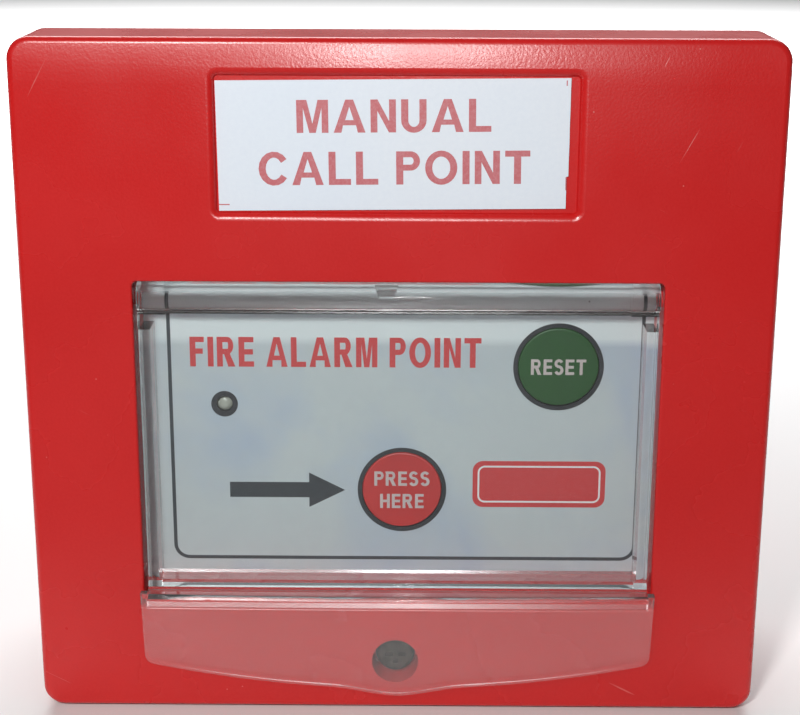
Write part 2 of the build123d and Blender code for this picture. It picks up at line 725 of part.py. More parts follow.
def lamp_bezel():
    """A small black ring that narrows at the front to the lamp's aperture."""
    near = FILM_FRONT - BEZEL_PROUD
    lip = near + LAMP_BEZEL_LIP
    ring = tube(LAMP_X, LAMP_Z, LAMP_BEZEL_RADIUS, LAMP_APERTURE, near, lip)
    sleeve = tube(
        LAMP_X, LAMP_Z, LAMP_BEZEL_RADIUS, LAMP_RADIUS + LAMP_CLEARANCE, lip, FACIA_REAR + LAMP_BEZEL_REACH
    )
    return ring + sleeve


def pair_of_leads(x):
    """Two leads side by side, half a pitch either way."""
    return (x - LEAD_HALF_PITCH, x + LEAD_HALF_PITCH)


def status_lamp():
    """A 3 mm lamp with a round nose, a rim and two leads to the board."""
    nose = FILM_FRONT + LAMP_NOSE_DEPTH
    rim = FACIA_REAR + LAMP_RIM_GAP
    lamp = post(LAMP_X, LAMP_Z, LAMP_RADIUS, nose, rim)
    lamp = fillet(front_edges(lamp, nose), LAMP_RADIUS - LAMP_CLEARANCE)
    lamp += post(LAMP_X, LAMP_Z, LAMP_RIM_RADIUS, rim, rim + LAMP_RIM_THICKNESS)
    for x in pair_of_leads(LAMP_X):
        lamp += post(x, LAMP_Z, LAMP_LEAD_RADIUS, rim + FUSE, TAIL_END)
    return lamp


# ---------------------------------------------------------------- circuit board


def circuit_board():
    board = plate(-BOARD_HALF, BOARD_HALF, BOARD_BOTTOM, BOARD_TOP, BOARD_FRONT, BOARD_REAR, BOARD_CORNER)
    for x, z in four_corners(BOARD_SCREW_X, BOARD_SCREW_LOW, BOARD_SCREW_HIGH):
        board -= post(x, z, M3_CLEARANCE, BOARD_FRONT - PAST, BOARD_REAR + PAST)
    for x, z, radius in lead_places():
        board -= post(x, z, radius, BOARD_FRONT - PAST, BOARD_REAR + PAST)
    return board


def axial_legs(x, z):
    return [(x - LEAD_PITCH / 2, z), (x + LEAD_PITCH / 2, z)]


def lead_places():
    """Every component lead that passes through the board: x, z and hole radius."""
    kinds = [
        (SWITCH_HOLE, [leg for x, z in BUTTONS.values() for leg in switch_legs(x, z)]),
        (LAMP_HOLE, [(x, LAMP_Z) for x in pair_of_leads(LAMP_X)]),
        (LEAD_HOLE, [leg for x, z in RESISTOR_PLACES + (DIODE_PLACE,) for leg in axial_legs(x, z)]),
        (PIN_HOLE, terminal_places() + relay_pins()),
        (LEAD_HOLE, [(x, CAPACITOR_Z) for x in pair_of_leads(CAPACITOR_X)]),
        (LEAD_HOLE, chip_pins()),
    ]
    return [(x, z, radius) for radius, places in kinds for x, z in places]


def terminal_places():
    first = TERMINAL_X - TERMINAL_PITCH * (TERMINAL_COUNT - 1) / 2
    return [(first + TERMINAL_PITCH * n, TERMINAL_Z) for n in range(TERMINAL_COUNT)]


def terminal_block():
    """Rising-clamp terminal block: screw wells in front, wire mouths on top, pins behind."""
    half = TERMINAL_PITCH * TERMINAL_COUNT / 2
    near = BOARD_FRONT - TERMINAL_HEIGHT
    low = TERMINAL_Z - TERMINAL_BODY / 2
    high = TERMINAL_Z + TERMINAL_BODY / 2
    block = plate(TERMINAL_X - half, TERMINAL_X + half, low, high, near, BOARD_FRONT)
    block = chamfer(front_edges(block, near), TERMINAL_EDGE)
    mouth_near, mouth_far = TERMINAL_MOUTH_DEPTHS
    for x, z in terminal_places():
        block -= post(x, z, TERMINAL_WELL_RADIUS, near - PAST, near + TERMINAL_WELL_DEPTH)
        left, right = x - TERMINAL_MOUTH_HALF, x + TERMINAL_MOUTH_HALF
        block -= plate(left, right, z, high + PAST, near + mouth_near, near + mouth_far)
        block += post(x, z, BOARD_PIN_RADIUS, BOARD_FRONT - FUSE, TAIL_END)
    return block


def terminal_screws():
    near = BOARD_FRONT - TERMINAL_HEIGHT + TERMINAL_SCREW_DEPTH
    slot = Rectangle(2 * TERMINAL_SCREW_RADIUS + PAST, 2 * TERMINAL_SLOT_HALF)
    screws = []
    for x, z in terminal_places():
        screw = post(x, z, TERMINAL_SCREW_RADIUS, near, near + TERMINAL_SCREW_LENGTH)
        screws.append(screw - prism(Pos(x, z) * slot, near - PAST, near + TERMINAL_SLOT_DEPTH))
    return screws


def relay_pins():
    return [(RELAY_X + dx, RELAY_Z + dz) for dx, dz in RELAY_PINS]


def relay():
    width, height, tall = RELAY_SIZE
    near = BOARD_FRONT - tall
    outline = Pos(RELAY_X, RELAY_Z) * RectangleRounded(width, height, RELAY_CORNER)
    body = prism(outline, near, BOARD_FRONT)
    body = fillet(front_edges(body, near), RELAY_EDGE)
    for x, z in relay_pins():
        body += post(x, z, BOARD_PIN_RADIUS, BOARD_FRONT - FUSE, TAIL_END)
    return body


def capacitor():
    near = BOARD_FRONT - CAPACITOR_HEIGHT
    rear = BOARD_FRONT - CAPACITOR_STANDOFF
    body = post(CAPACITOR_X, CAPACITOR_Z, CAPACITOR_RADIUS, near, rear)
    body = fillet(front_edges(body, near), CAPACITOR_EDGE)
    for x in pair_of_leads(CAPACITOR_X):
        body += post(x, CAPACITOR_Z, LEAD_RADIUS, rear - FUSE, TAIL_END)
    return body


def axial(x, z, radius, length):
    """An axial component lying on the board, its leads bent down through the board."""
    lie = BOARD_FRONT - radius - AXIAL_STANDOFF
    body = bar_x(lie, z, radius, x - length / 2, x + length / 2)
    body += bar_x(lie, z, LEAD_RADIUS, x - LEAD_PITCH / 2, x + LEAD_PITCH / 2)
    for leg_x, leg_z in axial_legs(x, z):
        body += post(leg_x, leg_z, AXIAL_LEG_RADIUS, lie - AXIAL_LEG_RADIUS, TAIL_END)
    return body


def chip_pins():
    columns = [CHIP_X + (n - 1.5) * CHIP_PITCH for n in range(4)]
    return [(x, CHIP_Z + side * CHIP_ROW) for x in columns for side in (-1, 1)]


def logic_chip():
    """Eight-leg latch chip."""
    near, far = (BOARD_FRONT - depth for depth in CHIP_DEPTHS)
    left, right = CHIP_X - CHIP_LENGTH / 2, CHIP_X + CHIP_LENGTH / 2
    body = plate(left, right, CHIP_Z - CHIP_WIDTH / 2, CHIP_Z + CHIP_WIDTH / 2, near, far)
    body = chamfer(body.edges().filter_by(Axis.X), CHIP_EDGE)
    leg_near, leg_far = (BOARD_FRONT - depth for depth in CHIP_LEG_DEPTHS)
    thin = CHIP_LEG_HALF
    for x, z in chip_pins():
        low, high = sorted((z, CHIP_Z + (z - CHIP_Z) * CHIP_SHOULDER))
        body += plate(x - 3 * thin, x + 3 * thin, low - thin, high + thin, leg_near, leg_far)
        body += plate(x - 2 * thin, x + 2 * thin, z - thin, z + thin, leg_near, BOARD_FRONT + CHIP_LEG_TAIL)
    return body


def corner_screws(x, low, high, seat, length):
    return [pan_screw(px, pz, seat, length) for px, pz in four_corners(x, low, high)]


os.makedirs("parts", exist_ok=True)
save("front_cover", front_cover())
save("title_label", title_label())
save("cover_screw", pan_screw(SCREW_X, SCREW_Z, COUNTERBORE_DEPTH, COVER_SCREW_LENGTH))
save("flap", flap())
save("back_box", back_box())
save("cable_grommet", cable_grommet())
save("threaded_insert", threaded_insert())
save("facia_panel", facia_panel())
save("facia_overlay", facia_overlay())
facia_corners = (FACIA_SCREW_X, FACIA_SCREW_LOW, FACIA_SCREW_HIGH)
save("facia_screws", *corner_screws(*facia_corners, FACIA_FRONT, FACIA_SCREW_LENGTH))
for name, (button_x, button_z) in BUTTONS.items():
    save(f"{name}_bezel", button_bezel(button_x, button_z))
    save(f"{name}_button", button_cap(button_x, button_z))
    save(f"{name}_switch_plunger", switch_plunger(button_x, button_z))
    save(f"{name}_switch", switch_body(button_x, button_z))
    save(f"{name}_return_spring", return_spring(button_x, button_z))
save("lamp_bezel", lamp_bezel())
save("status_lamp", status_lamp())
save("circuit_board", circuit_board())
board_corners = (BOARD_SCREW_X, BOARD_SCREW_LOW, BOARD_SCREW_HIGH)
save("board_screws", *corner_screws(*board_corners, BOARD_FRONT, BOARD_SCREW_LENGTH))
save("terminal_block", terminal_block())
save("terminal_screws", *terminal_screws())
save("relay", relay())
save("capacitor", capacitor())
save("resistors", *[axial(x, z, RESISTOR_RADIUS, RESISTOR_LENGTH) for x, z in RESISTOR_PLACES])
save("diode", axial(*DIODE_PLACE, DIODE_RADIUS, DIODE_LENGTH))
save("logic_chip", logic_chip())
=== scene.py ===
import json
import math
import random

import bmesh
import bpy
from mathutils import Matrix, Vector


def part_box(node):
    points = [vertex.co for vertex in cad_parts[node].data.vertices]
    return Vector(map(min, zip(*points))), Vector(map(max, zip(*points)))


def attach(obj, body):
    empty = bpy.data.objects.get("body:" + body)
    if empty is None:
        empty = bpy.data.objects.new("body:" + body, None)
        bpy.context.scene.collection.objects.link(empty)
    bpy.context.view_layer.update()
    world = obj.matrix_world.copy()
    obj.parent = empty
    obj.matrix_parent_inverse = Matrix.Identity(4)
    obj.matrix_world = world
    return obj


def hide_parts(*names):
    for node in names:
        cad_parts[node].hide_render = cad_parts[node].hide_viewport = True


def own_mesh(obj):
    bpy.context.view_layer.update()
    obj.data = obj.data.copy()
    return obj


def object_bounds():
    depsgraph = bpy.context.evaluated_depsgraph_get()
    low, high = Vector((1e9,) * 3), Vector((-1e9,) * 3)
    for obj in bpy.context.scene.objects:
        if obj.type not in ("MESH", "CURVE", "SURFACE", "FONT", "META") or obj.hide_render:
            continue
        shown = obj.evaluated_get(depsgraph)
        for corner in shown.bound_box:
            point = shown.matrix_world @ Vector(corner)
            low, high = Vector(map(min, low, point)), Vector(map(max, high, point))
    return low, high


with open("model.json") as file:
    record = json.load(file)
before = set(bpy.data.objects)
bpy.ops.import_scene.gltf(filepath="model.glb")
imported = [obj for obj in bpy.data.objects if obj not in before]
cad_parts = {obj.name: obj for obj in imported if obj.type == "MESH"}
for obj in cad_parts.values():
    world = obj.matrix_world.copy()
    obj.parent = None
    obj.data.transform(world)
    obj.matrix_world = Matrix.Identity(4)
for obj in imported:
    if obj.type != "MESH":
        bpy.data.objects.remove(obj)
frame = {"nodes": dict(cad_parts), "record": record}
cad_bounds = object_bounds()

# All places below are millimetres in the frame of the object, unless they come from the frame itself.
MM = 0.001

# Camera
CAMERA_PLACE = (1.9, -280.6, 73.5)
CAMERA_PITCH = -16.12
CAMERA_YAW = 0.39
CAMERA_ROLL = -0.19
CAMERA_LENS = 75.4

# Light: a small key lamp, a flash near the camera that gives only glare, and a fill behind
WORLD_LIGHT = 0.11
KEY_PLACE = (-80, -350, 180)
KEY_TARGET = (-10, -45, 5)
KEY_SIZE = (44, 36)
KEY_POWER = 1.04
KEY_COLOUR = (1.0, 0.985, 0.97)
FLASH_PLACE = (2, -285, 77)
FLASH_TARGET = (0, -45, 0)
FLASH_SIZE = (16, 10)
FLASH_POWER = 0.26
GLINT_SIZE = (11, 6)
GLINT_POWER = 0.035
FILL_PLACE = (0, 950, 700)
FILL_TARGET = (0, 750, -51)
FILL_SIZE = (1300, 900)
FILL_POWER = 15.0
FILL_SPREAD = 110

# Floor: metres across, its drop below the object, and where it turns from pale to a painted grey shade in
# front of the object
FLOOR_SIZE = 8.0
FLOOR_DROP = 0.0002
FLOOR_SHADE_START = -70.0
FLOOR_SHADE_FULL = -125.0

# Printing on the facia
PRINT_THICKNESS = 0.03
PRINT_PROUD = 0.7
FRAME_LEFT = -34.95
FRAME_RIGHT = 37.1
FRAME_LOW = -30.25
FRAME_HIGH = 22.0
FRAME_CORNER = 2.2
FRAME_LINE = 0.55
HEADLINE = "FIRE ALARM POINT"
HEADLINE_BOX = (-31.8, 12.6, 1.05, 5.75)
ARROW_TAIL = -26.2
ARROW_NECK = -13.85
ARROW_TIP = -8.25
ARROW_Z = -18.9
ARROW_SHAFT = 2.5
ARROW_HEAD = 5.7
PLATE_BOX = (11.6, 32.2, -21.6, -14.0)
PLATE_CORNER = 1.6
PLATE_INSET = 0.9
PLATE_INSET_CORNER = 1.0
PLATE_LINE = 0.28
# Painted light: the heights on the facia film where a brighter strip stands in for light passing under the
# knuckle
PAINTED_LIGHT_STRIP = (4.4, 5.8)

# Words: each line's width, and every letter's measures as shares of its height
PRESS_LINES = (("PRESS", 8.6), ("HERE", 6.8))
PRESS_HEIGHT = 2.35
PRESS_GAP = 1.35
RESET_LINES = (("RESET", 8.4),)
RESET_HEIGHT = 2.45
LETTER_BAR = 0.178
LETTER_GAP = 0.16
WORD_GAP = 0.56
HEADLINE_STEM = 0.265
BUTTON_STEM = 0.235
TITLE_STEM = 0.22

# Clear flap: the top of its milky tab, and heights and depth within its knuckle
TAB_TOP = -31.6
TAB_FADE = 0.6
KNUCKLE_FROST = (14.4, 15.2)
KNUCKLE_SHADE_DEPTH = -41.9
KNUCKLE_SHADE_LOW = 11.8
KNUCKLE_SHADE_TOP = 12.9

# Title label: words with their width, height and place, marks as left, low, width and height
TITLE_LINES = (("MANUAL", 27.5, 4.65, 0.1, 4.15), ("CALL POINT", 38.6, 4.75, 0.1, -3.25))
LABEL_TURN = 0.6
LABEL_INSET = 0.03
LABEL_FRONT_GAP = 0.04
LABEL_REAR_GAP = 0.01
CUT_POINTS = 6
CUT_LEAN = 0.16
CUT_WANDER = 0.04
CUT_STEP = 0.42
CUT_LOW_STEP = 0.48
CROP_MARKS = ((-25.0, -8.45, 1.5, 0.16), (24.35, 8.2, 0.16, 0.75), (24.45, -6.6, 0.14, 1.9))

# Return springs
WIRE = 0.25
COIL_GAP = 0.05
COIL_TURNS = 3.2
COIL_STEPS = 110
COIL_RING = 10
COIL_CLOSED = 0.16

# A colour mix node's sockets for its two colours
MIX_FIRST = 6
MIX_SECOND = 7


# ---------------------------------------------------------------- small tools


def node_box(node):
    """A CAD node's lowest and highest corners, in millimetres."""
    low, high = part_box(node)
    return low / MM, high / MM


def print_front(surface):
    """How far forward printing on a surface starts: most of its thickness stands proud."""
    return surface - PRINT_THICKNESS * PRINT_PROUD


def new_object(name, mesh, material, body):
    """A piece that rides on a body, with its material."""
    piece = bpy.data.objects.new(name, mesh)
    bpy.context.scene.collection.objects.link(piece)
    mesh.materials.clear()
    mesh.materials.append(material)
    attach(piece, body)
    return piece


def mesh_from(name, points, faces, smooth=False):
    """A mesh from points in millimetres."""
    mesh = bpy.data.meshes.new(name)
    mesh.from_pydata([Vector(p) * MM for p in points], [], faces)
    mesh.validate()
    mesh.update()
    work = bmesh.new()
    work.from_mesh(mesh)
    bmesh.ops.recalc_face_normals(work, faces=work.faces)
    work.to_mesh(mesh)
    work.free()
    for face in mesh.polygons:
        face.use_smooth = smooth
    return mesh


def slab(name, outline, front, thickness):
    """A thin plate parallel to the front face, from an outline of x and z."""
    count = len(outline)
    points = [(x, front, z) for x, z in outline] + [(x, front + thickness, z) for x, z in outline]
    sides = [(n, (n + 1) % count, (n + 1) % count + count, n + count) for n in range(count)]
    caps = [tuple(range(count)), tuple(range(2 * count - 1, count - 1, -1))]
    return mesh_from(name, points, caps + sides)


def ribbon(name, path, width, front, thickness, closed=False):
    """A line of even width along a path of x and z."""
    count = len(path)
    points = []
    for n, (x, z) in enumerate(path):
        before = path[n - 1] if n or closed else path[0]
        after = path[(n + 1) % count] if n < count - 1 or closed else path[-1]
        along = (Vector(after) - Vector(before)).normalized()
        across = Vector((-along.y, along.x)) * width / 2
        for side in (-1, 1):
            for y in (front, front + thickness):
                points.append((x + side * across.x, y, z + side * across.y))
    faces = []
    for n in range(count if closed else count - 1):
        a, b = 4 * n, 4 * ((n + 1) % count)
        faces += [(a, b, b + 2, a + 2), (a + 1, a + 3, b + 3, b + 1)]
        faces += [(a, a + 1, b + 1, b), (a + 2, b + 2, b + 3, a + 3)]
    if not closed:
        last = 4 * (count - 1)
        faces += [(0, 2, 3, 1), (last, last + 1, last + 3, last + 2)]
    return mesh_from(name, points, faces)


def oval(x, z, wide, tall, start, end, steps=14):
    """Points along an ellipse, from one angle to another in degrees."""
    angles = [math.radians(start + (end - start) * n / steps) for n in range(steps + 1)]
    return [(x + wide * math.cos(a), z + tall * math.sin(a)) for a in angles]


def arc(x, z, radius, start, end):
    return oval(x, z, radius, radius, start, end)


def rounded(left, right, low, high, radius):
    """The outline of a rectangle with round corners."""
    return (
        arc(right - radius, low + radius, radius, -90, 0)
        + arc(right - radius, high - radius, radius, 0, 90)
        + arc(left + radius, high - radius, radius, 90, 180)
        + arc(left + radius, low + radius, radius, 180, 270)
    )


def stroke(path, wide, tall):
    """The outline of a line drawn along a path, of one width where upright and another where level."""
    sides = ([], [])
    for n, (x, z) in enumerate(path):
        along = Vector(path[min(n + 1, len(path) - 1)]) - Vector(path[max(n - 1, 0)])
        along.normalize()
        across = Vector((-along.y * wide / 2, along.x * tall / 2))
        sides[0].append((x + across.x, z + across.y))
        sides[1].append((x - across.x, z - across.y))
    return sides[0] + sides[1][::-1]


def slanted_capitals(s, b):
    """The capitals with slanted strokes."""
    a_foot, m_leg = 1.08 * s, 0.93 * s
    a_outline = [(0, 0), (a_foot, 0), (0.29, 0.225), (0.69, 0.225), (0.98 - a_foot, 0), (0.98, 0)]
    a_outline += [(0.49 + 0.55 * s, 1), (0.49 - 0.55 * s, 1)]
    a_hole = [(0.36, 0.38), (0.62, 0.38), (0.49, 0.79)]
    m_outline = [(0, 0), (m_leg, 0), (m_leg, 0.76), (0.49 - 0.45 * s, 0), (0.49 + 0.45 * s, 0)]
    m_outline += [(0.98 - m_leg, 0.76), (0.98 - m_leg, 0), (0.98, 0), (0.98, 1)]
    m_outline += [(0.98 - 1.45 * s, 1), (0.49, 0.28), (1.45 * s, 1), (0, 1)]
    n_outline = [(0, 0), (0.95 * s, 0), (0.95 * s, 0.66), (0.78 - s, 0), (0.78, 0), (0.78, 1)]
    n_outline += [(0.78 - 0.95 * s, 1), (0.78 - 0.95 * s, 0.34), (s, 1), (0, 1)]
    r_outline = [(0, 0), (s, 0), (s, 0.42), (0.33, 0.42), (0.84 - 1.25 * s, 0), (0.84, 0), (0.60, 0.42)]
    r_outline += [*oval(0.49, 0.71, 0.27, 0.29, -62, 90), (0, 1)]
    r_bowl = [(s, 0.42 + b), *oval(0.49, 0.71, 0.27 - 0.9 * s, 0.29 - b, -90, 90), (s, 1 - b)]
    return {
        "A": (0.98, [a_outline, a_hole]),
        "M": (0.98, [m_outline]),
        "N": (0.78, [n_outline]),
        "R": (0.84, [r_outline, r_bowl]),
    }


def square_capitals(s, b):
    """The capitals of upright and level strokes only."""
    low, high = 0.5 - b / 2, 0.5 + b / 2
    e_outline = [(0, 0), (0.70, 0), (0.70, b), (s, b), (s, low), (0.66, low), (0.66, high)]
    e_outline += [(s, high), (s, 1 - b), (0.69, 1 - b), (0.69, 1), (0, 1)]
    f_outline = [(0, 0), (s, 0), (s, 0.43), (0.6, 0.43), (0.6, 0.43 + b), (s, 0.43 + b), (s, 1 - b)]
    f_outline += [(0.66, 1 - b), (0.66, 1), (0, 1)]
    h_outline = [(0, 0), (s, 0), (s, low), (0.78 - s, low), (0.78 - s, 0), (0.78, 0), (0.78, 1)]
    h_outline += [(0.78 - s, 1), (0.78 - s, high), (s, high), (s, 1), (0, 1)]
    t_outline = [(0.39 - s / 2, 0), (0.39 + s / 2, 0), (0.39 + s / 2, 1 - b), (0.78, 1 - b)]
    t_outline += [(0.78, 1), (0, 1), (0, 1 - b), (0.39 - s / 2, 1 - b)]
    return {
        "E": (0.70, [e_outline]),
        "F": (0.66, [f_outline]),
        "H": (0.78, [h_outline]),
        "I": (s, [[(0, 0), (s, 0), (s, 1), (0, 1)]]),
        "L": (0.69, [[(0, 0), (0.69, 0), (0.69, b), (s, b), (s, 1), (0, 1)]]),
        "T": (0.78, [t_outline]),
    }


def round_capitals(s, b):
    """The capitals with round strokes."""
    c_path = oval(0.48, 0.5, 0.48 - s / 2, 0.515 - b / 2, 33, 327)
    o_rim = oval(0.5, 0.5, 0.5, 0.515, 0, 347, 27)
    o_hole = oval(0.5, 0.5, 0.5 - s, 0.515 - b, 0, 347, 27)
    p_outline = [(0, 0), (s, 0), (s, 0.42), *oval(0.45, 0.71, 0.29, 0.29, -90, 90), (0, 1)]
    p_bowl = [(s, 0.42 + b), *oval(0.46, 0.71, 0.28 - 0.9 * s, 0.29 - b, -90, 90), (s, 1 - b)]
    s_path = oval(0.37, 0.73, 0.36 - s / 2, 0.285 - b / 2, 22, 270)
    s_path += oval(0.37, 0.3, 0.37 - s / 2, 0.315 - b / 2, 90, -158)[1:]
    u_path = [(s / 2, 1), *oval(0.39, 0.36, 0.39 - s / 2, 0.375 - b / 2, 180, 360), (0.78 - s / 2, 1)]
    return {
        "C": (0.88, [stroke(c_path, s, b)]),
        "O": (1.0, [o_rim, o_hole]),
        "P": (0.74, [p_outline, p_bowl]),
        "S": (0.74, [stroke(s_path, s, b)]),
        "U": (0.78, [stroke(u_path, s, b)]),
    }


def capitals(stem):
    """Plain block capitals, one unit tall, for an upright's width: each one's width and outlines."""
    return {
        **slanted_capitals(stem, LETTER_BAR),
        **square_capitals(stem, LETTER_BAR),
        **round_capitals(stem, LETTER_BAR),
    }


def filled(name, loops):
    """A flat mesh that fills outlines in millimetres, leaving their holes open."""
    curve = bpy.data.curves.new(name, "CURVE")
    curve.dimensions = "2D"
    curve.fill_mode = "BOTH"
    for loop in loops:
        line = curve.splines.new("POLY")
        line.points.add(len(loop) - 1)
        line.use_cyclic_u = True
        for point, (x, z) in zip(line.points, loop):
            point.co = (x, z, 0, 1)
    holder = bpy.data.objects.new(name + "_curve", curve)
    bpy.context.scene.collection.objects.link(holder)
    bpy.context.view_layer.update()
    mesh = bpy.data.meshes.new_from_object(holder.evaluated_get(bpy.context.evaluated_depsgraph_get()))
    bpy.data.objects.remove(holder)
    bpy.data.curves.remove(curve)
    return mesh


def set_line(words, stem):
    """The outlines of a line of words, one unit tall, and its width."""
    shapes = capitals(stem)
    loops = []
    cursor = 0.0
    for character in words:
        if character == " ":
            cursor += WORD_GAP - LETTER_GAP
            continue
        width, outlines = shapes[character]
        loops += [[(cursor + x, z) for x, z in outline] for outline in outlines]
        cursor += width + LETTER_GAP
    return loops, cursor - LETTER_GAP


def lettering(name, words, box, front, stem, turn=0.0, pivot=(0, 0)):
    """Block capitals that fill a box of left, right, low and high, as a thin plate."""
    loops, length = set_line(words, stem)
    left, right, low, high = box
    wide, tall = (right - left) / length, high - low
    spin = Matrix.Rotation(math.radians(turn), 2)
    middle = Vector(pivot)
    corner = Vector((left, low)) - middle
    turned = [[spin @ (corner + Vector((x * wide, z * tall))) + middle for x, z in loop] for loop in loops]
    mesh = filled(name, turned)
    for v in mesh.vertices:
        v.co = Vector((v.co.x, front, v.co.y)) * MM
    thicken(mesh)
    return mesh


def thicken(mesh):
    """Turn a flat mesh that faces the front into a plate as thick as printing."""
    work = bmesh.new()
    work.from_mesh(mesh)
    bmesh.ops.remove_doubles(work, verts=work.verts, dist=1e-7)
    made = bmesh.ops.extrude_face_region(work, geom=work.faces[:])
    for v in (e for e in made["geom"] if isinstance(e, bmesh.types.BMVert)):
        v.co.y += PRINT_THICKNESS * MM
    bmesh.ops.recalc_face_normals(work, faces=work.faces)
    work.to_mesh(mesh)
    work.free()


class Finish:
    """A procedural material, with short calls for the nodes that the finishes share."""

    def __init__(self, name, colour, roughness, **inputs):
        self.material = bpy.data.materials.new(name)
        self.material.use_nodes = True
        self.tree = self.material.node_tree
        self.shader = self.tree.nodes["Principled BSDF"]
        self.place = self.node("ShaderNodeTexCoord").outputs["Object"]
        self.set("Base Color", colour)
        self.set("Roughness", roughness)
        for key, value in inputs.items():
            self.set(key.replace("_", " "), value)

    def node(self, kind, **settings):
        made = self.tree.nodes.new(kind)
        for key, value in settings.items():
            setattr(made, key, value)
        return made

    def feed(self, socket, value):
        """Give a socket a link or a plain value."""
        if isinstance(value, bpy.types.NodeSocket):
            self.tree.links.new(value, socket)
        elif hasattr(value, "__len__") and len(value) == 3 and socket.type == "RGBA":
            socket.default_value = (*value, 1)
        else:
            socket.default_value = value

    def set(self, key, value):
        self.feed(self.shader.inputs[key], value)

    def noise(self, scale, detail=2.0, roughness=0.5, distortion=0.0, vector=None):
        made = self.node("ShaderNodeTexNoise")
        self.feed(made.inputs["Vector"], vector or self.place)
        self.feed(made.inputs["Scale"], scale)
        self.feed(made.inputs["Detail"], detail)
        self.feed(made.inputs["Roughness"], roughness)
        self.feed(made.inputs["Distortion"], distortion)
        return made.outputs[0]

    def cells(self, scale, output="Distance"):
        made = self.node("ShaderNodeTexVoronoi")
        self.feed(made.inputs["Vector"], self.place)
        self.feed(made.inputs["Scale"], scale)
        return made.outputs[output]

    def across(self):
        """The place's x, y and z, each on its own."""
        made = self.node("ShaderNodeSeparateXYZ")
        self.feed(made.inputs[0], self.place)
        return made.outputs

    def span(self, value, low, high, to_low=0.0, to_high=1.0):
        """A value's range from low to high, mapped to another range and held at its ends."""
        made = self.node("ShaderNodeMapRange")
        for socket, number in zip(made.inputs, (value, low, high, to_low, to_high)):
            self.feed(socket, number)
        return made.outputs[0]

    def math(self, operation, first, second=0.0):
        made = self.node("ShaderNodeMath", operation=operation)
        self.feed(made.inputs[0], first)
        self.feed(made.inputs[1], second)
        return made.outputs[0]

    def mix(self, factor, first, second):
        """A blend of two colours."""
        made = self.node("ShaderNodeMix", data_type="RGBA")
        self.feed(made.inputs[0], factor)
        self.feed(made.inputs[MIX_FIRST], first)
        self.feed(made.inputs[MIX_SECOND], second)
        return made.outputs[2]

    def turned(self, angle, scale):
        """The place, turned in the plane of the front face and stretched."""
        made = self.node("ShaderNodeMapping", vector_type="TEXTURE")
        made.inputs["Rotation"].default_value = (0, math.radians(angle), 0)
        made.inputs["Scale"].default_value = [1 / s for s in scale]
        self.feed(made.inputs["Vector"], self.place)
        return made.outputs[0]

    def specks(self, scale, size, keep):
        """Small round dots: size is their radius as a share of a cell, keep the share of cells with one."""
        dot = self.span(self.cells(scale), size, size * 0.6)
        pick = self.node("ShaderNodeSeparateColor")
        self.feed(pick.inputs[0], self.cells(scale, "Color"))
        return self.math("MULTIPLY", dot, self.span(pick.outputs[0], 1 - keep, 1 - keep + 0.001))

    def scratches(self, angle, fineness, amount):
        """Thin straight marks along one direction, broken up along their length."""
        lines = self.noise(1.0, 1.0, vector=self.turned(angle, (30, fineness, fineness)))
        breaks = self.noise(90.0, 2.0)
        edge = 0.80 - amount
        return self.math("MULTIPLY", self.span(lines, edge, edge + 0.04), self.span(breaks, 0.5, 0.62))

    def bump(self, height, strength, distance, below=None):
        made = self.node("ShaderNodeBump")
        self.feed(made.inputs["Strength"], strength)
        self.feed(made.inputs["Distance"], distance)
        self.feed(made.inputs["Height"], height)
        if below is not None:
            self.feed(made.inputs["Normal"], below)
        return made.outputs[0]

    def let_lamps_through(self, colour):
        """Lamps shine through the clear plastic, tinted by a colour, without a hard shadow."""
        output = self.tree.nodes["Material Output"]
        path = self.node("ShaderNodeLightPath")
        clear = self.node("ShaderNodeBsdfTransparent")
        both = self.node("ShaderNodeMixShader")
        self.feed(clear.inputs[0], colour)
        self.feed(both.inputs[0], path.outputs["Is Shadow Ray"])
        self.tree.links.new(self.shader.outputs[0], both.inputs[1])
        self.tree.links.new(clear.outputs[0], both.inputs[2])
        self.tree.links.new(both.outputs[0], output.inputs["Surface"])


# ---------------------------------------------------------------- finishes


def red_plastic():
    """Satin moulded red plastic: fine spark grain, faint flow marks, rubbed spots, dust and scratches."""
    finish = Finish("red_plastic", (0.57, 0.009, 0.009), 0.26)
    cloud = finish.span(finish.noise(26.0, 3.0), 0.3, 0.7)
    grain = finish.noise(2600.0, 3.0, 0.6)
    colour = finish.mix(cloud, (0.55, 0.008, 0.008), (0.60, 0.011, 0.011))
    colour = finish.mix(finish.span(grain, 0.35, 0.75, 0.0, 0.28), colour, (0.66, 0.028, 0.025))
    marks = finish.math("MAXIMUM", finish.scratches(28, 1500.0, 0.03), finish.scratches(-62, 1800.0, 0.025))
    dust = finish.math("MAXIMUM", finish.specks(140.0, 0.022, 0.30), finish.specks(420.0, 0.05, 0.12))
    worn = finish.math("MAXIMUM", finish.math("MULTIPLY", marks, 0.35), finish.math("MULTIPLY", dust, 0.45))
    colour = finish.mix(worn, colour, (0.78, 0.30, 0.27))
    finish.set("Base Color", colour)
    rubbed = finish.span(finish.noise(60.0, 4.0), 0.35, 0.7, 0.245, 0.30)
    finish.set("Roughness", finish.math("ADD", rubbed, finish.math("MULTIPLY", worn, 0.2)))
    height = finish.bump(grain, 0.55, 0.00004)
    finish.set("Normal", finish.bump(marks, 0.25, -0.00003, height))
    return finish.material


def knuckle_shade(finish, depth, height):
    """How far a place is in the low rear part of the knuckle, which casts a grey band on the facia."""
    behind = finish.span(depth, KNUCKLE_SHADE_DEPTH * MM, (KNUCKLE_SHADE_DEPTH + 0.2) * MM)
    below = finish.span(height, KNUCKLE_SHADE_TOP * MM, (KNUCKLE_SHADE_TOP - 0.25) * MM)
    above = finish.span(height, KNUCKLE_SHADE_LOW * MM, (KNUCKLE_SHADE_LOW + 0.15) * MM)
    return finish.math("MULTIPLY", finish.math("MULTIPLY", behind, below), above)


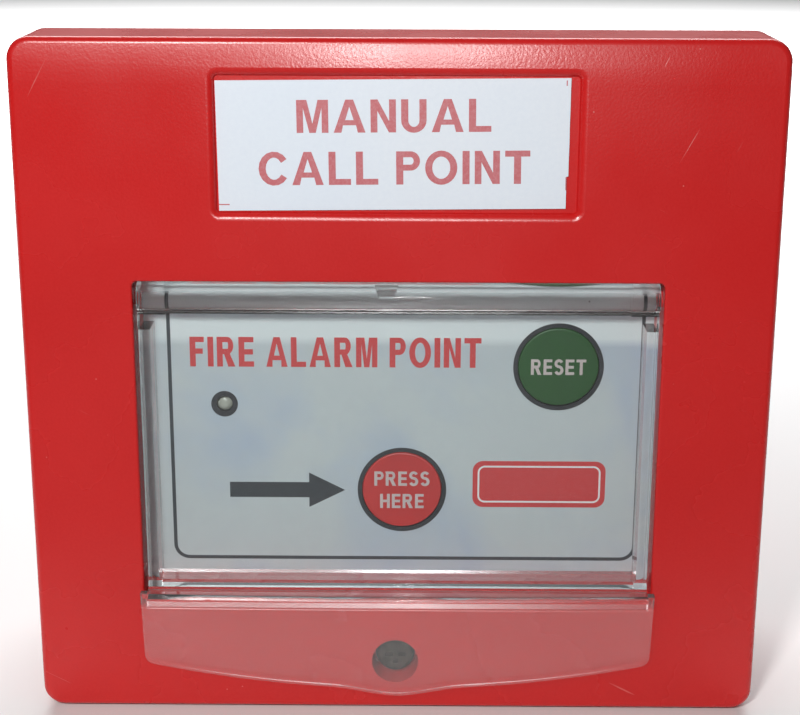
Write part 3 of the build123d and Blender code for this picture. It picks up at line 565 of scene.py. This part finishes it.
def clear_plastic():
    """Clear moulded plastic: faint haze and marks, a milky tab, and a frosted top of the knuckle."""
    finish = Finish("clear_plastic", (0.965, 0.98, 0.985), 0.02, IOR=1.49)
    depth, height = finish.across()[1:]
    milky = finish.span(height, TAB_TOP * MM, (TAB_TOP - TAB_FADE) * MM)
    finish.set("Transmission Weight", finish.span(milky, 0, 1, 0.998, 0.955))
    marks = finish.math("MAXIMUM", finish.scratches(12, 2600.0, 0.035), finish.scratches(74, 2600.0, 0.03))
    haze = finish.span(finish.noise(45.0, 5.0, 0.6), 0.42, 0.75, 0.012, 0.05)
    frost = finish.span(height, KNUCKLE_FROST[0] * MM, KNUCKLE_FROST[1] * MM, 0, 0.32)
    rough = finish.math("ADD", haze, finish.math("MULTIPLY", marks, 0.25))
    finish.set("Roughness", finish.math("MAXIMUM", rough, frost))
    waves = finish.bump(finish.noise(85.0, 1.0), 0.06, 0.0004)
    finish.set("Normal", finish.bump(marks, 0.2, -0.00002, waves))
    shade = knuckle_shade(finish, depth, height)
    finish.let_lamps_through(finish.mix(shade, (0.92, 0.945, 0.95), (0.10, 0.12, 0.14)))
    return finish.material


def printed_film():
    """Pale film over the facia, with smudges, faint streaks, dust, and a painted bright strip under the
    hinge for the light that passes under the knuckle.
    """
    finish = Finish("printed_film", (0.42, 0.48, 0.53), 0.36)
    smudge = finish.span(finish.noise(38.0, 4.0, 0.55, 0.6), 0.42, 0.72)
    colour = finish.mix(smudge, (0.53, 0.60, 0.61), (0.38, 0.475, 0.61))
    streaks = finish.span(finish.noise(700.0, 3.0), 0.35, 0.8, 0.0, 0.3)
    colour = finish.mix(streaks, colour, (0.46, 0.52, 0.54))
    # Painted light: a brighter strip of film under the hinge, standing in for light that passes under the
    # knuckle
    painted_light = finish.span(finish.across()[2], PAINTED_LIGHT_STRIP[0] * MM, PAINTED_LIGHT_STRIP[1] * MM)
    colour = finish.mix(painted_light, colour, (0.72, 0.80, 0.81))
    dirt = finish.math("MAXIMUM", finish.specks(170.0, 0.03, 0.16), finish.specks(60.0, 0.016, 0.25))
    finish.set("Base Color", finish.mix(finish.math("MULTIPLY", dirt, 0.75), colour, (0.05, 0.06, 0.07)))
    finish.set("Roughness", finish.span(finish.noise(50.0, 3.0), 0.3, 0.7, 0.3, 0.44))
    finish.set("Normal", finish.bump(finish.noise(1500.0, 2.0), 0.08, 0.00003))
    return finish.material


def label_paper():
    """White sticker paper with a faint cool cast and fibres."""
    finish = Finish("label_paper", (0.74, 0.81, 0.89), 0.5)
    fibre = finish.noise(1400.0, 4.0, 0.65)
    cast = finish.span(finish.noise(22.0, 2.0), 0.3, 0.7)
    colour = finish.mix(cast, (0.72, 0.80, 0.89), (0.77, 0.82, 0.88))
    share = finish.span(fibre, 0.3, 0.75, 0.0, 0.3)
    finish.set("Base Color", finish.mix(share, colour, (0.64, 0.71, 0.82)))
    finish.set("Normal", finish.bump(fibre, 0.15, 0.00004))
    return finish.material


def ink(name, colour, paper, coverage):
    """Printing ink that lets a little of what is under it show in fine spots."""
    finish = Finish(name, colour, 0.45)
    spots = finish.span(finish.noise(2600.0, 3.0, 0.7), 0.35, 0.72, 0.0, 1 - coverage)
    patches = finish.span(finish.noise(300.0, 2.0), 0.35, 0.7, 0.0, 0.5 * (1 - coverage))
    finish.set("Base Color", finish.mix(finish.math("MAXIMUM", spots, patches), colour, paper))
    finish.set("Normal", finish.bump(spots, 0.1, 0.00002))
    return finish.material


def moulded(name, colour, roughness, grain=1800.0, spread=0.15, **inputs):
    """Moulded plastic or rubber of one colour, with fine grain and slight unevenness."""
    finish = Finish(name, colour, roughness, **inputs)
    light = [min(1, c * (1 + spread)) for c in colour]
    dark = [c * (1 - spread) for c in colour]
    patch = finish.span(finish.noise(120.0, 3.0), 0.3, 0.7)
    finish.set("Base Color", finish.mix(patch, dark, light))
    worn = finish.noise(400.0, 3.0)
    finish.set("Roughness", finish.span(worn, 0.3, 0.7, roughness - 0.06, roughness + 0.08))
    finish.set("Normal", finish.bump(finish.noise(grain, 2.0), 0.15, 0.00003))
    return finish.material


def metal(name, colour, roughness, tarnish, amount):
    """Turned or plated metal with fine unevenness and tarnish in patches."""
    finish = Finish(name, colour, roughness, Metallic=1.0)
    patch = finish.span(finish.noise(500.0, 4.0, 0.6), 0.5 - amount / 2, 0.8 - amount / 2)
    finish.set("Base Color", finish.mix(patch, colour, tarnish))
    finish.set("Roughness", finish.span(patch, 0, 1, roughness, min(1, roughness + 0.3)))
    finish.set("Normal", finish.bump(finish.noise(3000.0, 2.0), 0.2, 0.00002))
    return finish.material


def board():
    """Green lacquered board with copper tracks faintly raised under the lacquer."""
    finish = Finish("board", (0.01, 0.09, 0.035), 0.3, Coat_Weight=0.4)
    cells = finish.cells(220.0)
    track = finish.span(cells, 0.46, 0.5)
    finish.set("Base Color", finish.mix(track, (0.008, 0.075, 0.03), (0.02, 0.17, 0.06)))
    finish.set("Normal", finish.bump(track, 0.3, 0.00004))
    return finish.material


def floor_finish():
    """Plain pale floor with the slightest unevenness, painted grey as shade in front of the object, so less
    light comes back from there onto the object and into the clear flap.
    """
    finish = Finish("floor", (0.8, 0.8, 0.8), 0.7)
    front = finish.span(finish.across()[1], FLOOR_SHADE_START * MM, FLOOR_SHADE_FULL * MM)
    pale = finish.mix(finish.noise(3.0, 2.0), (0.79, 0.79, 0.79), (0.82, 0.82, 0.82))
    # Painted shade: the floor is dark grey in front of the object
    finish.set("Base Color", finish.mix(front, pale, (0.20, 0.20, 0.20)))
    return finish.material


FINISHES = {
    "red_housing": red_plastic(),
    "clear_flap": clear_plastic(),
    "label_paper": label_paper(),
    "facia_white": moulded("facia_plate", (0.62, 0.66, 0.68), 0.45),
    "facia_film": printed_film(),
    "black_plastic": moulded("black_plastic", (0.018, 0.022, 0.027), 0.4),
    "press_red": moulded("press_plastic", (0.52, 0.022, 0.020), 0.42, spread=0.08),
    "reset_green": moulded("reset_plastic", (0.001, 0.072, 0.003), 0.45, spread=0.08),
    "dark_steel": metal("dark_steel", (0.11, 0.10, 0.08), 0.46, (0.035, 0.03, 0.02), 0.4),
    "plated_steel": metal("plated_steel", (0.66, 0.66, 0.63), 0.28, (0.45, 0.43, 0.38), 0.3),
    "brass": metal("brass", (0.75, 0.55, 0.24), 0.3, (0.42, 0.28, 0.10), 0.3),
    "rubber": moulded("rubber", (0.022, 0.022, 0.022), 0.7, grain=900.0),
    "board_green": board(),
    "terminal_green": moulded("terminal_plastic", (0.04, 0.26, 0.11), 0.42),
    "relay_blue": moulded("relay_case", (0.025, 0.11, 0.40), 0.32),
    "capacitor_sleeve": moulded("capacitor_sleeve", (0.03, 0.035, 0.08), 0.3),
    "resistor_body": moulded("resistor_lacquer", (0.60, 0.48, 0.31), 0.4),
    "lamp_lens": moulded("lamp_lens", (0.40, 0.42, 0.36), 0.15, spread=0.1, Coat_Weight=0.5),
    "button_ink": ink("button_ink", (0.56, 0.50, 0.49), (0.45, 0.36, 0.35), 0.9),
    "title_ink": ink("title_ink", (0.52, 0.10, 0.115), (0.62, 0.34, 0.38), 0.6),
    "black_ink": ink("black_ink", (0.02, 0.028, 0.035), (0.2, 0.25, 0.28), 0.9),
    "red_ink": ink("red_ink", (0.58, 0.03, 0.032), (0.64, 0.18, 0.18), 0.8),
    "white_ink": ink("white_ink", (0.80, 0.82, 0.82), (0.7, 0.72, 0.72), 0.9),
}


def dress_frame():
    """Give every CAD node the finish of its slot."""
    for subpart in frame["record"]["subparts"]:
        mesh = frame["nodes"][subpart["node"]].data
        mesh.materials.clear()
        mesh.materials.append(FINISHES[subpart["material_slot"]])


# ---------------------------------------------------------------- printing


def on_film(name, mesh, ink_name):
    new_object(name, mesh, FINISHES[ink_name], "housing")


def print_frame_line(front):
    """The line round the facia, open at the top, where it runs on under the cover."""
    path = [(FRAME_LEFT, FRAME_HIGH)]
    path += arc(FRAME_LEFT + FRAME_CORNER, FRAME_LOW + FRAME_CORNER, FRAME_CORNER, 180, 270)
    path += arc(FRAME_RIGHT - FRAME_CORNER, FRAME_LOW + FRAME_CORNER, FRAME_CORNER, -90, 0)
    path += [(FRAME_RIGHT, FRAME_HIGH)]
    mesh = ribbon("facia_frame_line", path, FRAME_LINE, front, PRINT_THICKNESS)
    on_film("facia_frame_line", mesh, "black_ink")


def print_arrow(front):
    shaft, head = ARROW_SHAFT / 2, ARROW_HEAD / 2
    half = [(ARROW_TAIL, ARROW_Z - shaft), (ARROW_NECK, ARROW_Z - shaft), (ARROW_NECK, ARROW_Z - head)]
    half += [(ARROW_TIP, ARROW_Z)]
    outline = half + [(x, 2 * ARROW_Z - z) for x, z in reversed(half[:-1])]
    on_film("facia_arrow", slab("facia_arrow", outline, front, PRINT_THICKNESS), "black_ink")


def print_plate(front):
    """A blank red plate with a thin white line inside its edge."""
    left, right, low, high = PLATE_BOX
    outline = rounded(left, right, low, high, PLATE_CORNER)
    on_film("facia_blank_plate", slab("facia_blank_plate", outline, front, PRINT_THICKNESS), "red_ink")
    inset = PLATE_INSET
    path = rounded(left + inset, right - inset, low + inset, high - inset, PLATE_INSET_CORNER)
    thickness = PRINT_THICKNESS * 1.2
    mesh = ribbon("facia_plate_line", path, PLATE_LINE, front - PRINT_THICKNESS, thickness, closed=True)
    on_film("facia_plate_line", mesh, "white_ink")


def print_facia():
    """All that is printed on the film."""
    front = print_front(node_box("facia_overlay")[0].y)
    print_frame_line(front)
    print_arrow(front)
    mesh = lettering("facia_headline", HEADLINE, HEADLINE_BOX, front, HEADLINE_STEM)
    on_film("facia_headline", mesh, "red_ink")
    print_plate(front)


def print_button(node, lines, height, gap):
    """White words on a button's face."""
    low, high = node_box(node)
    centre_x, centre_z = (low.x + high.x) / 2, (low.z + high.z) / 2
    top = centre_z + (len(lines) * height + (len(lines) - 1) * gap) / 2
    for n, (words, width) in enumerate(lines):
        upper = top - n * (height + gap)
        box = (centre_x - width / 2, centre_x + width / 2, upper - height, upper)
        name = f"{node}_word_{n + 1}"
        mesh = lettering(name, words, box, print_front(low.y), BUTTON_STEM)
        new_object(name, mesh, FINISHES["button_ink"], node)


def sticker_outline(half, tall_half):
    """A hand-cut rectangle: its right edge wanders a little and steps in near the bottom."""
    chance = random.Random(7)
    cut = []
    for n in range(1, CUT_POINTS + 1):
        share = n / CUT_POINTS
        cut.append((half - CUT_LEAN * share - chance.uniform(0, CUT_WANDER), tall_half * (1 - 1.5 * share)))
    low_right = [(half - CUT_LOW_STEP, -tall_half), (half - CUT_STEP, -tall_half / 2)]
    return [(-half, -tall_half), *low_right, *cut[::-1], (half, tall_half), (-half, tall_half)]


def on_label(name, mesh, material):
    return new_object(name, mesh, material, "housing")


def title_label():
    """The sticker on the cover, set slightly askew, with its words and cutting marks in muted red."""
    low, high = node_box("title_label")
    turn = math.radians(LABEL_TURN)
    centre = Vector(((low.x + high.x) / 2, (low.z + high.z) / 2))
    tall = ((high.z - low.z) - (high.x - low.x) * math.sin(turn)) / math.cos(turn)
    wide = ((high.x - low.x) - tall * math.sin(turn)) / math.cos(turn)
    spin = Matrix.Rotation(turn, 2)

    def askew(outline):
        return [tuple(spin @ Vector(p) + centre) for p in outline]

    front = low.y + LABEL_FRONT_GAP
    outline = askew(sticker_outline(wide / 2 - LABEL_INSET, tall / 2 - LABEL_INSET))
    mesh = slab("title_sticker", outline, front, high.y - LABEL_REAR_GAP - front)
    sticker = on_label("title_sticker", mesh, FINISHES["label_paper"])
    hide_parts("title_label")
    muted, front = FINISHES["title_ink"], print_front(front)
    for n, (x, z, width, height) in enumerate(CROP_MARKS):
        corners = [(x, z), (x + width, z), (x + width, z + height), (x, z + height)]
        name = f"title_mark_{n + 1}"
        on_label(name, slab(name, askew(corners), front, PRINT_THICKNESS), muted)
    for n, (words, width, height, dx, dz) in enumerate(TITLE_LINES):
        x, z = centre.x + dx, centre.y + dz
        box = (x - width / 2, x + width / 2, z - height / 2, z + height / 2)
        name = f"title_words_{n + 1}"
        on_label(name, lettering(name, words, box, front, TITLE_STEM, LABEL_TURN, centre), muted)


# ---------------------------------------------------------------- springs


def coil_mesh(name, low, high):
    """A round wire wound from one end of a box to the other, with closed ends."""
    centre = (low + high) / 2
    radius = (high.x - low.x) / 2 - WIRE - COIL_GAP
    points = []
    for n in range(COIL_STEPS + 1):
        share = n / COIL_STEPS
        eased = min(1, max(0, (share - COIL_CLOSED) / (1 - 2 * COIL_CLOSED)))
        y = low.y + WIRE + (high.y - low.y - 2 * WIRE) * eased
        angle = 2 * math.pi * COIL_TURNS * share
        for m in range(COIL_RING):
            a = 2 * math.pi * m / COIL_RING
            reach = radius + WIRE * math.cos(a)
            x, z = centre.x + reach * math.cos(angle), centre.z + reach * math.sin(angle)
            points.append((x, y + WIRE * math.sin(a), z))
    faces = []
    for n in range(COIL_STEPS):
        for m in range(COIL_RING):
            a, b = n * COIL_RING + m, n * COIL_RING + (m + 1) % COIL_RING
            faces.append((a, b, b + COIL_RING, a + COIL_RING))
    last = len(points) - 1
    faces += [tuple(range(COIL_RING)), tuple(range(last, last - COIL_RING, -1))]
    return mesh_from(name, points, faces, smooth=True)


def coil_spring(node, body):
    """A coil return spring in place of the sleeve that keeps its room."""
    low, high = node_box(node)
    name = node + "_coil"
    spring = new_object(name, coil_mesh(name, low, high), FINISHES["plated_steel"], body)
    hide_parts(node)
    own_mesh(spring)


# ---------------------------------------------------------------- stage


def make_stage():
    """The floor that the object stands on."""
    low = cad_bounds[0]
    bpy.ops.mesh.primitive_plane_add(size=FLOOR_SIZE, location=(0, 0, low.z - FLOOR_DROP))
    floor = bpy.context.object
    floor.name = "floor"
    floor.data.materials.append(floor_finish())


def area_light(name, place, target, size, power, colour=(1, 1, 1), spread=180):
    """A rectangular lamp at a place, aimed at a target and not seen itself."""
    lamp = bpy.data.lights.new(name, "AREA")
    lamp.shape = "RECTANGLE"
    lamp.size, lamp.size_y = (s * MM for s in size)
    lamp.energy = power
    lamp.color = colour
    lamp.spread = math.radians(spread)
    holder = bpy.data.objects.new(name, lamp)
    bpy.context.scene.collection.objects.link(holder)
    holder.location = Vector(place) * MM
    holder.rotation_mode = "QUATERNION"
    holder.rotation_quaternion = (Vector(target) - Vector(place)).to_track_quat("-Z", "Y")
    holder.visible_camera = False
    holder.visible_transmission = False
    return holder


def link_flap(lamp, state):
    """Light only the clear flap, or all but it: its clear plastic would pass a lamp's light on twice."""
    group = bpy.data.collections.new(lamp.name + "_" + state.lower())
    group.objects.link(frame["nodes"]["flap"])
    group.collection_objects[0].light_linking.link_state = state
    lamp.light_linking.receiver_collection = group


def make_light():
    """A dim studio with the key lamp and flash, their shares for the flap, and the fill behind."""
    world = bpy.data.worlds.new("studio")
    bpy.context.scene.world = world
    world.use_nodes = True
    background = world.node_tree.nodes["Background"]
    background.inputs["Color"].default_value = (0.96, 0.98, 1.0, 1)
    background.inputs["Strength"].default_value = WORLD_LIGHT
    key = area_light("key", KEY_PLACE, KEY_TARGET, KEY_SIZE, KEY_POWER, KEY_COLOUR)
    flash = area_light("near_camera", FLASH_PLACE, FLASH_TARGET, FLASH_SIZE, FLASH_POWER)
    flash.visible_diffuse = False
    for lamp in (key, flash):
        link_flap(lamp, "EXCLUDE")
    glint = area_light("flap_glint", FLASH_PLACE, FLASH_TARGET, GLINT_SIZE, GLINT_POWER)
    glint.visible_diffuse = False
    milky = area_light("flap_key", KEY_PLACE, KEY_TARGET, KEY_SIZE, KEY_POWER, KEY_COLOUR)
    milky.visible_glossy = False
    for lamp in (glint, milky):
        link_flap(lamp, "INCLUDE")
    area_light("back_fill", FILL_PLACE, FILL_TARGET, FILL_SIZE, FILL_POWER, spread=FILL_SPREAD)


def make_camera():
    camera = bpy.data.cameras.new("camera")
    camera.lens = CAMERA_LENS
    camera.clip_start = 0.01
    holder = bpy.data.objects.new("camera", camera)
    bpy.context.scene.collection.objects.link(holder)
    turn = (
        Matrix.Rotation(math.radians(CAMERA_YAW), 4, "Z")
        @ Matrix.Rotation(math.radians(CAMERA_PITCH), 4, "X")
        @ Matrix.Rotation(math.radians(CAMERA_ROLL), 4, "Y")
        @ Matrix.Rotation(math.pi / 2, 4, "X")
    )
    holder.matrix_world = Matrix.Translation(Vector(CAMERA_PLACE) * MM) @ turn
    bpy.context.scene.camera = holder


make_camera()
make_light()
make_stage()
dress_frame()
print_facia()
print_button("press_button", PRESS_LINES, PRESS_HEIGHT, PRESS_GAP)
print_button("reset_button", RESET_LINES, RESET_HEIGHT, 0)
title_label()
coil_spring("press_return_spring", "housing")
coil_spring("reset_return_spring", "housing")
bpy.context.scene.view_settings.view_transform = "Standard"
